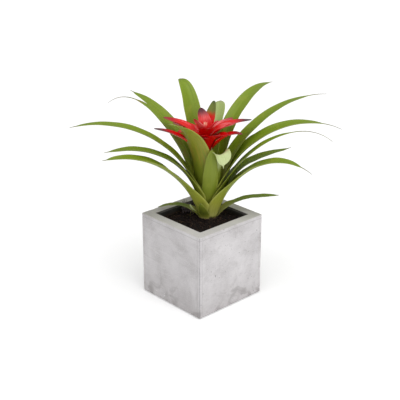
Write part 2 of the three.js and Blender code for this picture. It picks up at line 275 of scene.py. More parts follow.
# fine lines that run along a blade, with its U across and V along
veinGroup, source, result = newGroup(
    "longVeins",
    [
        ("Vector", "NodeSocketVector", None),
        ("Count", "NodeSocketFloat", 40),
        ("Stretch", "NodeSocketFloat", 2.5),
    ],
    [("Streaks", "NodeSocketFloat"), ("Ridges", "NodeSocketFloat"), ("Margin", "NodeSocketFloat")],
)
parts = put(veinGroup, "ShaderNodeSeparateXYZ", {"Vector": source["Vector"]}).outputs
stretched = put(
    veinGroup,
    "ShaderNodeCombineXYZ",
    {
        "X": times(veinGroup, parts["X"], source["Count"]),
        "Y": times(veinGroup, parts["Y"], source["Stretch"]),
        "Z": parts["Z"],
    },
).outputs["Vector"]
veinGroup.links.new(cloud(veinGroup, stretched, 1.0, 3, 0.65), result["Streaks"])
wobble = times(veinGroup, cloud(veinGroup, stretched, 0.25, 2), 3.0)
lines = times(veinGroup, parts["X"], source["Count"])
turns = plus(veinGroup, times(veinGroup, lines, 3.0), wobble)
ridges = math2(veinGroup, "MULTIPLY_ADD", math2(veinGroup, "SINE", turns), 0.5, 0.5)
veinGroup.links.new(ridges, result["Ridges"])
offCentre = math2(veinGroup, "ABSOLUTE", math2(veinGroup, "MULTIPLY_ADD", parts["X"], 2.0, -1.0))
veinGroup.links.new(remap(veinGroup, offCentre, 0.82, 1.0), result["Margin"])

# loose crumbs: rounded cells with gaps between them
crumbGroup, source, result = newGroup(
    "crumbs",
    [("Vector", "NodeSocketVector", None), ("Scale", "NodeSocketFloat", 300)],
    [("Crumbs", "NodeSocketFloat"), ("Cell Tone", "NodeSocketFloat")],
)
wander = put(crumbGroup, "ShaderNodeTexNoise", {"Vector": source["Vector"], "Scale": 220.0}).outputs["Color"]
wander = put(crumbGroup, "ShaderNodeVectorMath", {0: wander, 1: (0.0022, 0.0022, 0.0022)}, operation="MULTIPLY")
bent = put(crumbGroup, "ShaderNodeVectorMath", {0: source["Vector"], 1: wander.outputs["Vector"]}, operation="ADD")
bentPlace = bent.outputs["Vector"]
cells = put(crumbGroup, "ShaderNodeTexVoronoi", {"Vector": bentPlace, "Scale": source["Scale"]})
crumbGroup.links.new(remap(crumbGroup, cells.outputs["Distance"], 0.05, 0.75, 1.0, 0.0), result["Crumbs"])
cellParts = put(crumbGroup, "ShaderNodeSeparateColor", {"Color": cells.outputs["Color"]}).outputs
crumbGroup.links.new(cellParts["Red"], result["Cell Tone"])
print("effects ready")


# meshes


def newPiece(name, points, faces, material, smooth=True):
    mesh = bpy.data.meshes.new(name)
    mesh.from_pydata([tuple(p) for p in points], [], [tuple(f) for f in faces])
    mesh.materials.append(material)
    if smooth:
        mesh.shade_smooth()
    piece = bpy.data.objects.new(name, mesh)
    sceneObjects.link(piece)
    return piece


def fit(piece, body, slotName, *nodes):
    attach(piece, body)
    if nodes:
        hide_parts(*nodes)


# anticlockwise outline of a square with rounded corners
def squareRing(half, radius, z, sideSteps, cornerSteps):
    ring = []
    reach = half - radius
    for corner in range(4):
        turn = Matrix.Rotation(corner * math.pi / 2, 3, "Z")
        for i in range(cornerSteps + 1):
            angle = i / cornerSteps * math.pi / 2
            x, y = reach + radius * math.cos(angle), reach + radius * math.sin(angle)
            ring.append(turn @ Vector((x, y, z)))
        for i in range(1, sideSteps):
            ring.append(turn @ Vector((reach * (1 - 2 * i / sideSteps), half, z)))
    return ring


# skin over rings with the same number of points, with the first and last ring closed if asked
def skin(rings, closeStart=True, closeEnd=True):
    count = len(rings[0])
    points = [p for ring in rings for p in ring]
    faces = []
    for level in range(len(rings) - 1):
        for i in range(count):
            a, b = level * count + i, level * count + (i + 1) % count
            faces.append((a, b, b + count, a + count))
    if closeStart:
        faces.append(tuple(reversed(range(count))))
    if closeEnd:
        faces.append(tuple(range(len(points) - count, len(points))))
    return points, faces


def smoothStep(value, low, high):
    share = min(max((value - low) / (high - low), 0), 1)
    return share * share * (3 - 2 * share)


# planter

lowPlanter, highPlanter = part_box("concrete_planter")
planter = {
    "half": highPlanter.x,
    "bottom": lowPlanter.z,
    "top": highPlanter.z,
    "wall": 0.018,
    "floor": 0.018,
    "corner": 0.0022,
    "edge": 0.0011,
    "innerCorner": 0.004,
    "draft": 0.002,
    "cell": 0.0025,
    "unevenness": 0.00022,
    "chips": 46,
    "chipSize": (0.0008, 0.0028),
    "chipDepth": 0.0007,
    "seed": 5,
}


def roundedTurn(halfFrom, zFrom, halfTo, zTo, around, steps):
    # points of a quarter turn from one profile point to the next about the given centre
    startAngle = math.atan2(zFrom - around[1], halfFrom - around[0])
    endAngle = math.atan2(zTo - around[1], halfTo - around[0])
    radius = math.hypot(halfFrom - around[0], zFrom - around[1])
    return [
        (
            around[0] + radius * math.cos(startAngle + (endAngle - startAngle) * i / steps),
            around[1] + radius * math.sin(startAngle + (endAngle - startAngle) * i / steps),
        )
        for i in range(steps + 1)
    ]


def planterRings(p):
    half, edge, top, bottom = p["half"], p["edge"], p["top"], p["bottom"]
    inner = half - p["wall"]
    levels = max(4, round((top - bottom - 2 * edge) / p["cell"]))
    profile = roundedTurn(half - edge, bottom, half, bottom + edge, (half - edge, bottom + edge), 3)
    profile += [(half, bottom + edge + (top - bottom - 2 * edge) * i / levels) for i in range(1, levels)]
    profile += roundedTurn(half, top - edge, half - edge, top, (half - edge, top - edge), 4)
    profile += [(half - edge - (p["wall"] - 2 * edge) * i / 6, top) for i in range(1, 6)]
    profile += [
        (inner + edge * (1 - math.sin(i / 4 * math.pi / 2)), top - edge * (1 - math.cos(i / 4 * math.pi / 2)))
        for i in range(5)
    ]
    depth = top - edge - p["floor"]
    profile += [(inner - p["draft"] * i / 14, top - edge - depth * i / 14) for i in range(1, 15)]
    rings = []
    for reach, z in profile:
        share = smoothStep(reach, inner, half - edge)
        radius = p["innerCorner"] * (1 - share) + p["corner"] * share
        radius = max(radius - max(half - reach, 0) * 0.5, 0.0008) if reach > half - edge - 1e-6 else radius
        rings.append(squareRing(reach, radius, z, round(2 * half / p["cell"]), 5))
    return rings


def wearPlanter(piece, p):
    dice = random.Random(p["seed"])
    half, top, bottom = p["half"], p["top"], p["bottom"]
    corners = [(x, y) for x in (-half, half) for y in (-half, half)]
    chips = []
    for _ in range(p["chips"]):
        x, y = dice.choice(corners)
        along = dice.uniform(-half, half)
        kind = dice.random()
        if kind < 0.4:
            spot = Vector((x, y, dice.uniform(bottom, top)))
        elif kind < 0.7:
            spot = Vector((x, along, top if dice.random() < 0.6 else bottom))
        else:
            spot = Vector((along, y, top if dice.random() < 0.6 else bottom))
        chips.append((spot, dice.uniform(*p["chipSize"])))
    middle = Vector((0, 0, (top + bottom) / 2))
    for vertex in piece.data.vertices:
        place = vertex.co.copy()
        swell = 0.5 + 0.5 * noise.noise(place * 24)
        fine = 0.5 + 0.5 * noise.noise(place * 160 + Vector((3, 7, 1)))
        offset = p["unevenness"] * (0.7 * swell + 0.3 * fine)
        inwards = middle - place
        for spot, size in chips:
            away = (place - spot).length / size
            if away < 1:
                offset += p["chipDepth"] * (1 - away * away) * (0.6 + 0.4 * fine)
                break
        else:
            inwards = -vertex.normal
        vertex.co = place + inwards.normalized() * offset


concreteLook = {
    "light": rgb(214, 211, 212),
    "middle": rgb(198, 195, 196),
    "dark": rgb(172, 168, 168),
    "stain": rgb(130, 125, 124),
    # the rim tone is painted shade: the top face darker and warmer to offset the stronger light from above
    "rim": rgb(192, 189, 184),
    # the next colour is near-black painted shade for the inner walls of the hollow (also darkens damp soil
    # patches)
    "dampAndShade": rgb(60, 58, 52),
    "line": rgb(112, 112, 116),
    "scratch": rgb(226, 224, 224),
    "hole": rgb(104, 101, 99),
    "bandInset": 0.0062,
    "holeScale": 210,
}


def makeConcrete(look, p):
    material, tree, shader = newMaterial("castConcrete", {"Roughness": 0.82, "Specular IOR Level": 0.35})
    place = objectPlace(tree)
    mottle = mottled(tree, place, 17, 520, 0.34)
    color = ramp(tree, mottle["Tone"], [(0.34, look["dark"]), (0.48, look["middle"]), (0.64, look["light"])])

    # trowel sweeps, stretched and tilted
    sweepPlace = turnedPlace(tree, place, (0.4, 0.7, 0.5), (1, 0.25, 1.6))
    sweep = cloud(tree, sweepPlace, 70, 4, 0.55, 1.2)
    color = blendColors(tree, remap(tree, sweep, 0.52, 0.7, 0, 0.35), color, look["light"])
    color = blendColors(tree, remap(tree, sweep, 0.44, 0.3, 0, 0.3), color, look["dark"])

    # darker towards the bottom, with stains low down
    parts = put(tree, "ShaderNodeSeparateXYZ", {"Vector": place}).outputs
    low = remap(tree, parts["Z"], 0.075, 0.0, 0, 1)
    stain = remap(tree, cloud(tree, place, 34, 5, 0.6, 0.8), 0.48, 0.68, 0, 1)
    color = blendColors(tree, times(tree, low, times(tree, stain, 0.8)), color, look["stain"])
    color = blendColors(tree, times(tree, low, 0.45), color, look["dark"])

    # light scratches
    scratchPlace = turnedPlace(tree, place, (0.9, 0.5, 0.3), (2.2, 0.2, 0.6))
    scratch = cloud(tree, scratchPlace, 330, 2, 0.5, 2.5)
    scratchMask = times(
        tree, remap(tree, scratch, 0.66, 0.72), remap(tree, cloud(tree, place, 26, 2), 0.5, 0.66)
    )
    color = blendColors(tree, times(tree, scratchMask, 0.7), color, look["scratch"])

    # pinholes, in a share of the cells only
    cells = put(tree, "ShaderNodeTexVoronoi", {"Vector": place, "Scale": look["holeScale"]})
    chance = put(tree, "ShaderNodeSeparateColor", {"Color": cells.outputs["Color"]}).outputs
    holeSize = remap(tree, chance["Red"], 0.72, 1.0, 0.0, 0.24)
    hole = math2(tree, "LESS_THAN", cells.outputs["Distance"], holeSize)
    color = blendColors(tree, times(tree, hole, 0.55), color, look["hole"])

    # a thin dark line at the upright edges, and faint mould lines set in from every edge
    sideX, sideY = math2(tree, "ABSOLUTE", parts["X"]), math2(tree, "ABSOLUTE", parts["Y"])
    nearest = math2(tree, "MINIMUM", sideX, sideY)
    wander = times(tree, minus(tree, cloud(tree, place, 60, 3), 0.5), 0.0016)
    edgeReach = plus(tree, nearest, wander)
    corner = remap(tree, edgeReach, p["half"] - 0.0017, p["half"] - 0.0006, 0, 0.55)
    inset = minus(tree, p["half"] - look["bandInset"], edgeReach)
    sideBand = remap(tree, math2(tree, "ABSOLUTE", inset), 0.0011, 0.0, 0, 0.22)
    topInset = minus(tree, p["top"] - look["bandInset"], plus(tree, parts["Z"], wander))
    topBand = remap(tree, math2(tree, "ABSOLUTE", topInset), 0.0011, 0.0, 0, 0.34)
    color = blendColors(tree, math2(tree, "MAXIMUM", sideBand, topBand), color, look["stain"])
    # the flat top of the rim painted a little darker and warmer than the sides: painted shade offsetting the
    # stronger light it gets from above
    rimMask = remap(tree, parts["Z"], p["top"] - 0.0012, p["top"] - 0.0003)
    color = blendColors(tree, times(tree, rimMask, 0.7), color, look["rim"])
    sideOnly = minus(tree, 1.0, rimMask)
    color = blendColors(tree, times(tree, corner, sideOnly), color, look["line"])
    # the inner faces of the walls painted near black: painted shade inside the hollow
    largest = math2(tree, "MAXIMUM", sideX, sideY)
    inside = remap(tree, largest, p["half"] - p["wall"] + 0.0012, p["half"] - p["wall"] + 0.0002)
    color = blendColors(tree, times(tree, inside, 0.9), color, look["dampAndShade"])

    height = minus(tree, times(tree, mottle["Speckle"], 0.5), times(tree, hole, 1.4))
    height = minus(tree, height, times(tree, scratchMask, 0.25))
    rough = remap(tree, mottle["Patches"], 0.3, 0.7, 0.74, 0.9)
    finishShader(tree, shader, color, rough, height, 0.00035, 0.8)
    return material


planterPiece = newPiece("planterBody", *skin(planterRings(planter)), makeConcrete(concreteLook, planter))
wearPlanter(planterPiece, planter)
fit(planterPiece, "planter", "cast_concrete", "concrete_planter")
print("planter:", len(planterPiece.data.vertices), "points")

# foot pad under the planter

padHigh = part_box("base_pad")[1]
pad = {"half": padHigh.x, "top": padHigh.z, "corner": 0.008, "edge": 0.0006, "tone": rgb(46, 45, 43)}


def makeFoam(look):
    material, tree, shader = newMaterial("foamRubber", {"Roughness": 0.95, "Specular IOR Level": 0.2})
    mottle = mottled(tree, objectPlace(tree), 60, 1400, 0.6)
    color = ramp(tree, mottle["Tone"], [(0.35, rgb(34, 33, 32)), (0.65, look["tone"])])
    finishShader(tree, shader, color, None, mottle["Speckle"], 0.0003, 0.9)
    return material


padLevels = [(0.0004, 0), (0, pad["edge"]), (0, pad["top"] - pad["edge"]), (0.0004, pad["top"])]
padRings = [squareRing(pad["half"] - inset, pad["corner"] - inset, z, 6, 6) for inset, z in padLevels]
padPiece = newPiece("footPad", *skin(padRings), makeFoam(pad), smooth=False)
fit(padPiece, "planter", "pad_rubber", "base_pad")

# liner

linerLow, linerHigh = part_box("inner_liner")
liner = {
    "half": linerHigh.x,
    "bottom": linerLow.z,
    "top": linerHigh.z,
    "wall": 0.0016,
    "lowInset": 0.002,
    "corner": 0.004,
    "steps": 12,
    "lipSteps": 6,
}


def makePlastic():
    material, tree, shader = newMaterial("blackPlastic", {"Roughness": 0.5, "Specular IOR Level": 0.5})
    place = objectPlace(tree)
    mottle = mottled(tree, place, 45, 900, 0.3)
    color = ramp(tree, mottle["Tone"], [(0.36, rgb(24, 23, 21)), (0.6, rgb(44, 43, 38))])
    parts = put(tree, "ShaderNodeSeparateXYZ", {"Vector": place}).outputs
    splash = cloud(tree, place, 150, 4, 0.7)
    splashLine = math2(tree, "MULTIPLY_ADD", splash, 0.012, 0.1375)
    dirt = remap(tree, minus(tree, parts["Z"], splashLine), 0.0015, -0.0015, 0, 0.85)
    color = blendColors(tree, dirt, color, rgb(52, 38, 28))
    rough = remap(tree, mottle["Patches"], 0.3, 0.7, 0.38, 0.62)
    finishShader(tree, shader, color, rough, mottle["Speckle"], 0.0001, 0.5)
    return material


def linerRings(p):
    half, wall, top, inset, steps = p["half"], p["wall"], p["top"], p["lowInset"], p["steps"]
    lip = 0.5 * wall
    start = p["bottom"] + 0.002  # above the rounded foot
    levels = [(half - 0.0044, p["bottom"]), (half - 0.0024, p["bottom"] + 0.0005), (half - inset, start)]
    levels += [
        (half - inset * (1 - i / steps), start + (top - lip - p["bottom"] - 0.002) * i / steps)
        for i in range(1, steps + 1)
    ]
    for i in range(1, p["lipSteps"] + 1):  # rolled top edge
        angle = i / p["lipSteps"] * math.pi
        levels.append((half - lip + lip * math.cos(angle), top - lip + lip * math.sin(angle)))
    depth = top - lip - (p["bottom"] + wall)
    levels += [(half - wall - inset * i / steps, top - lip - depth * i / steps) for i in range(1, steps + 1)]
    rings = []
    for reach, z in levels:
        corner = p["corner"] if reach > half - wall * 0.5 else p["corner"] - mm
        rings.append(squareRing(reach, corner, z, 24, 5))
    return rings


linerPiece = newPiece("innerLiner", *skin(linerRings(liner)), makePlastic())
fit(linerPiece, "planting", "black_plastic", "inner_liner")
print("liner and pad done")

# soil with bark chips and fibres

soilLow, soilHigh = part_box("potting_soil")
soil = {
    "half": linerHigh.x - 0.0019,
    "lowHalf": soilHigh.x - 0.002,
    "bottom": soilLow.z,
    "corner": 0.003,
    "edgeHeight": 0.1408,
    "mound": 0.0052,
    "moundRadius": 0.030,
    "plant": (0.014, -0.001),
    "cells": 104,
    "crumb": 0.0019,
    "chips": 620,
    "chipLength": (0.0022, 0.0075),
    "fibres": 150,
    "seed": 11,
}


def soilHeight(x, y, rough=True):
    away = math.hypot(x - soil["plant"][0], y - soil["plant"][1])
    height = soil["edgeHeight"] + soil["mound"] * math.exp(-((away / soil["moundRadius"]) ** 2))
    place = Vector((x, y, 0))
    height += 0.0016 * noise.noise(place * 45 + Vector((4, 2, 0)))
    if rough:
        height += soil["crumb"] * (noise.fractal(place * 260, 0.9, 2.1, 4) * 0.55 + 0.2)
        height -= 0.0012 * max(0, noise.noise(place * 120 + Vector((9, 1, 5))))
    return height


# pulls a point of a square into its rounded corners
def intoCorners(x, y, half, radius):
    reach = half - radius
    overX, overY = abs(x) - reach, abs(y) - reach
    if overX > 0 and overY > 0:
        shrink = max(overX, overY) / math.hypot(overX, overY)
        x = math.copysign(reach + overX * shrink, x)
        y = math.copysign(reach + overY * shrink, y)
    return x, y


def soilMesh(p):
    count = p["cells"]
    points, faces = [], []
    for row in range(count + 1):
        for column in range(count + 1):
            x, y = p["half"] * (2 * column / count - 1), p["half"] * (2 * row / count - 1)
            x, y = intoCorners(x, y, p["half"], p["corner"])
            points.append((x, y, soilHeight(x, y)))
    for row in range(count):
        for column in range(count):
            a = row * (count + 1) + column
            faces.append((a, a + 1, a + count + 2, a + count + 1))
    rim = list(range(count + 1))
    rim += [row * (count + 1) + count for row in range(1, count + 1)]
    rim += [count * (count + 1) + column for column in range(count - 1, -1, -1)]
    rim += [row * (count + 1) for row in range(count - 1, 0, -1)]
    shrink = p["lowHalf"] / p["half"]
    base = len(points)
    for index in rim:
        x, y, z = points[index]
        points.append((x * shrink, y * shrink, p["bottom"]))
    for i in range(len(rim)):
        after = (i + 1) % len(rim)
        faces.append((rim[after], rim[i], base + i, base + after))
    faces.append(tuple(range(base + len(rim) - 1, base - 1, -1)))
    return points, faces


def makeSoil():
    material, tree, shader = newMaterial("pottingMix", {"Roughness": 0.95, "Specular IOR Level": 0.25})
    place = objectPlace(tree)
    crumbs = grouped(tree, crumbGroup, {"Vector": place, "Scale": 420})
    color = ramp(
        tree,
        crumbs["Cell Tone"],
        [(0.0, rgb(15, 9, 7)), (0.5, rgb(26, 15, 12)), (0.85, rgb(40, 24, 18)), (1.0, rgb(64, 42, 30))],
    )
    # darker between the crumbs: painted shade in the gaps
    color = blendColors(tree, remap(tree, crumbs["Crumbs"], 0.75, 0.25, 0, 0.8), color, rgb(12, 7, 6))
    dampAndShade = cloud(tree, place, 55, 3)
    color = blendColors(tree, remap(tree, dampAndShade, 0.5, 0.66, 0, 0.5), color, rgb(20, 11, 9))
    rough = remap(tree, dampAndShade, 0.45, 0.65, 0.98, 0.8)
    finishShader(tree, shader, color, rough, crumbs["Crumbs"], 0.001, 0.9)
    return material


def makeBark():
    material, tree, shader = newMaterial("barkChip", {"Roughness": 0.85, "Specular IOR Level": 0.3})
    place = objectPlace(tree)
    tone = put(tree, "ShaderNodeAttribute", None, attribute_name="chipTone").outputs["Fac"]
    color = ramp(
        tree,
        tone,
        [
            (0.0, rgb(14, 7, 6)),
            (0.5, rgb(25, 13, 11)),
            (0.84, rgb(40, 22, 17)),
            (0.96, rgb(60, 38, 29)),
            (1.0, rgb(96, 70, 54)),
        ],
    )
    grainPlace = turnedPlace(tree, place, (0.3, 0.2, 0.6), (1, 6, 3))
    grain = cloud(tree, grainPlace, 420, 4, 0.7)
    color = blendColors(tree, remap(tree, grain, 0.5, 0.35, 0, 0.6), color, rgb(16, 10, 8))
    finishShader(tree, shader, color, remap(tree, grain, 0.3, 0.7, 0.95, 0.7), grain, 0.0006, 0.8)
    return material


def openSpot(dice, clear=0.019):
    while True:
        x, y = (dice.uniform(-1, 1) * (soil["half"] - 0.0035) for _ in range(2))
        if math.hypot(x - soil["plant"][0], y - soil["plant"][1]) > clear:
            return x, y


def barkMesh(p):
    dice = random.Random(p["seed"])
    points, faces, tones = [], [], []
    for _ in range(p["chips"]):
        x, y = openSpot(dice)
        length = dice.uniform(*p["chipLength"]) * dice.choice((0.6, 0.8, 1))
        sizes = (length, length * dice.uniform(0.25, 0.6), length * dice.uniform(0.1, 0.28))
        turn = Euler((dice.gauss(0, 0.35), dice.gauss(0, 0.35), dice.uniform(0, 6.28))).to_matrix()
        centre = Vector((x, y, soilHeight(x, y) + sizes[2] * 0.3))
        base, tone = len(points), dice.random() ** 1.4
        outline = [(-1, -0.5), (-0.6, -1), (0.3, -0.9), (1, -0.4), (0.9, 0.5), (0.2, 1), (-0.7, 0.7)]
        for level, share in ((-1, 0.8), (-0.2, 1), (1, 0.75)):
            for u, v in outline:
                jitter = [dice.uniform(0.8, 1.2) * u, dice.uniform(0.75, 1.25) * v]
                jitter.append(level + dice.uniform(-0.3, 0.3))
                spread = (share, share, 1)
                local = Vector([j * k * size / 2 for j, k, size in zip(jitter, spread, sizes)])
                points.append(centre + turn @ local)
                tones.append(tone)
        count = len(outline)
        for ring in range(2):
            for i in range(count):
                a, b = base + ring * count + i, base + ring * count + (i + 1) % count
                faces.append((a, b, b + count, a + count))
        faces.append(tuple(reversed(range(base, base + count))))
        faces.append(tuple(range(base + 2 * count, base + 3 * count)))
    return points, faces, tones


# a thin tube with a few sides along a line of points
def tube(line, radius, sides=5):
    points, faces = [], []
    for i, spot in enumerate(line):
        ahead = line[min(i + 1, len(line) - 1)] - line[max(i - 1, 0)]
        across = ahead.cross(Vector((0.3, 0.2, 1))).normalized()
        other = ahead.cross(across).normalized()
        share = i / (len(line) - 1)
        size = radius * (1 - 0.6 * share * share)
        for k in range(sides):
            angle = k / sides * 2 * math.pi
            points.append(spot + (across * math.cos(angle) + other * math.sin(angle)) * size)
    for i in range(len(line) - 1):
        for k in range(sides):
            a, b = i * sides + k, i * sides + (k + 1) % sides
            faces.append((a, b, b + sides, a + sides))
    faces.append(tuple(reversed(range(sides))))
    faces.append(tuple(range(len(points) - sides, len(points))))
    return points, faces


def joinMeshes(meshes):
    points, faces = [], []
    for somePoints, someFaces in meshes:
        base = len(points)
        points += somePoints
        faces += [tuple(i + base for i in face) for face in someFaces]
    return points, faces


def fibreMesh(p):
    dice = random.Random(p["seed"] + 1)
    strands = []
    for _ in range(p["fibres"]):
        x, y = openSpot(dice)
        heading, length, curl = dice.uniform(0, 6.28), dice.uniform(0.004, 0.014), dice.uniform(-2.5, 2.5)
        line, arch = [], dice.uniform(0.0003, 0.0022)
        for i in range(9):
            share = i / 8
            line.append(Vector((x, y, soilHeight(x, y, False) + 0.0012 + arch * math.sin(math.pi * share))))
            x += math.cos(heading) * length / 8
            y += math.sin(heading) * length / 8
            heading += curl / 8
            x, y = (min(max(c, -soil["half"] + 0.002), soil["half"] - 0.002) for c in (x, y))
        strands.append(tube(line, dice.uniform(0.00012, 0.0003), 4))
    return joinMeshes(strands)


def makeFibre():
    material, tree, shader = newMaterial("rootFibre", {"Roughness": 0.8, "Specular IOR Level": 0.3})
    place = objectPlace(tree)
    mottle = mottled(tree, place, 90, 700, 0.4)
    color = ramp(tree, mottle["Tone"], [
        (0.36, rgb(40, 26, 20)),
        (0.5, rgb(66, 46, 36)),
        (0.64, rgb(120, 96, 76)),
    ])
    finishShader(tree, shader, color, None, mottle["Speckle"], 0.0002, 0.6)
    return material


soilPiece = newPiece("pottingSoil", *soilMesh(soil), makeSoil())
fit(soilPiece, "planting", "bark_soil", "potting_soil")
barkPoints, barkFaces, barkTones = barkMesh(soil)
barkPiece = newPiece("barkChips", barkPoints, barkFaces, makeBark(), smooth=False)
barkPiece.data.attributes.new("chipTone", "FLOAT", "POINT").data.foreach_set("value", barkTones)
fit(barkPiece, "planting", "bark_soil")
fibrePiece = newPiece("soilFibres", *fibreMesh(soil), makeFibre())
fit(fibrePiece, "planting", "root_soil")

# dried leaf scraps and pale roots on the soil

scraps = {
    "centre": (0.008, 0.044),
    "width": 0.015,
    "strands": 90,
    "height": (0.008, 0.02),
    "radius": (0.00025, 0.0005),
    "seed": 23,
}

roots = {
    # start, way there and end of each pale root, in millimetres
    "paths": [
        ((20, 44, 147), (12, 36, 151), (4, 30, 143)),
        ((18, 40, 148), (8, 33, 148), (0, 22, 143)),
        ((14, 28, 147), (5, 20, 150), (2, 8, 143)),
        ((16, 26, 146), (10, 14, 149), (11, 2, 143)),
        ((8, 34, 146), (0, 30, 148), (-8, 22, 143)),
        ((28, 36, 148), (16, 30, 153), (8, 26, 144)),
    ],
    "radius": 0.00045,
    "steps": 10,
}


def scrapMesh(p):
    dice = random.Random(p["seed"])
    strands = []
    for _ in range(p["strands"]):
        x, y = (c + dice.gauss(0, 0.3) * p["width"] for c in p["centre"])
        x, y = (min(max(c, 0.003 - soil["half"]), soil["half"] - 0.003) for c in (x, y))
        lean = Vector((dice.gauss(0, 0.4), dice.gauss(0, 0.4), 1))
        height = dice.uniform(*p["height"]) * (1.25 - min(abs(x - p["centre"][0]) / p["width"], 1))
        foot = Vector((x, y, soilHeight(x, y, False)))
        side = Vector((dice.gauss(0, 0.2), dice.gauss(0, 0.2), 0))
        line = [foot + (lean * i / 5 + side * (i / 5) ** 2) * height for i in range(6)]
        strands.append(tube(line, dice.uniform(*p["radius"]), 4))
    return joinMeshes(strands)


def rootMesh(p):
    strands = []
    for path in p["paths"]:
        start, way, end = (Vector(spot) * mm for spot in path)
        shares = [i / p["steps"] for i in range(p["steps"] + 1)]
        line = [start * (1 - t) ** 2 + way * 2 * t * (1 - t) + end * t * t for t in shares]
        strands.append(tube(line, p["radius"], 6))
    return joinMeshes(strands)


def makeScrap():
    material, tree, shader = newMaterial("driedScrap", {"Roughness": 0.9, "Specular IOR Level": 0.2})
    place = objectPlace(tree)
    mottle = mottled(tree, place, 160, 900, 0.4)
    color = ramp(tree, mottle["Tone"], [
        (0.36, rgb(72, 62, 64)),
        (0.5, rgb(122, 110, 116)),
        (0.64, rgb(176, 166, 172)),
    ])
    finishShader(tree, shader, color, None, mottle["Speckle"], 0.0002, 0.6)
    return material


def makeRoot():
    material, tree, shader = newMaterial("paleRoot", {"Roughness": 0.7, "Specular IOR Level": 0.3})
    place = objectPlace(tree)
    mottle = mottled(tree, place, 140, 900, 0.4)
    color = ramp(tree, mottle["Tone"], [
        (0.36, rgb(104, 98, 44)),
        (0.5, rgb(146, 138, 70)),
        (0.64, rgb(178, 170, 104)),
    ])
    finishShader(tree, shader, color, None, mottle["Speckle"], 0.0002, 0.6)
    return material


scrapPiece = newPiece("driedScraps", *scrapMesh(scraps), makeScrap())
fit(scrapPiece, "planting", "root_soil")
rootPiece = newPiece("surfaceRoots", *rootMesh(roots), makeRoot())
fit(rootPiece, "planting", "root_soil")
print("soil:", len(soilPiece.data.vertices), "points,", soil["chips"], "chips,", soil["fibres"], "fibres")

# pebbles and root ball, which show only when the liner is opened up


def makePebble():
    material, tree, shader = newMaterial("pebble", {"Roughness": 0.7})
    place = objectPlace(tree)
    crumbs = grouped(tree, crumbGroup, {"Vector": place, "Scale": 130})
    mottle = mottled(tree, place, 120, 900, 0.4)
    color = ramp(tree, crumbs["Cell Tone"], [
        (0.0, rgb(108, 100, 90)),
        (0.5, rgb(146, 138, 126)),
        (1.0, rgb(178, 168, 150)),
    ])
    color = blendColors(tree, remap(tree, mottle["Tone"], 0.4, 0.6, 0, 0.4), color, rgb(92, 84, 74))
    # dark in the gaps between pebbles: painted shade
    color = blendColors(tree, remap(tree, crumbs["Crumbs"], 0.4, 0.1), color, rgb(28, 24, 20))
    finishShader(tree, shader, color, None, crumbs["Crumbs"], 0.003, 1.0)
    return material


def makeRootMass():
    material, tree, shader = newMaterial("rootMass", {"Roughness": 0.95})
    place = objectPlace(tree)
    crumbs = grouped(tree, crumbGroup, {"Vector": place, "Scale": 260})
    color = ramp(tree, crumbs["Cell Tone"], [
        (0.0, rgb(34, 22, 15)),
        (0.7, rgb(62, 42, 28)),
        (1.0, rgb(98, 72, 48)),
    ])
    strandPlace = put(tree, "ShaderNodeMapping", {"Vector": place, "Scale": (1, 1, 0.15)}).outputs["Vector"]
    strands = cloud(tree, strandPlace, 420, 3, 0.6, 1.5)
    color = blendColors(tree, remap(tree, strands, 0.58, 0.66, 0, 0.8), color, rgb(170, 146, 110))
    finishShader(tree, shader, color, None, plus(tree, crumbs["Crumbs"], strands), 0.001, 0.9)
    return material


def paint(nodeName, material):
    mesh = frame["nodes"][nodeName].data
    mesh.materials.clear()
    mesh.materials.append(material)


paint("drainage_gravel", makePebble())
paint("root_ball", makeRootMass())

# leaves: one midrib curve in an upright plane each, an arc across that clasps the stem at the foot

bladeFrame = {
    "crownTop": 0.146,
    "leafAxis": (0.014, -0.001),
    "flowerAxis": (0.010, 0.003),
    "innerFoot": 6,
    "footPitch": 1.25,
    "bractFoot": 4,
    "bractPitch": 1.2,
    "bractsBelowTop": 10,
    "bractLayer": 2,
}
bladePull = {"footPull": 0.42, "tipPull": 0.36}  # how far foot and tip keep their direction

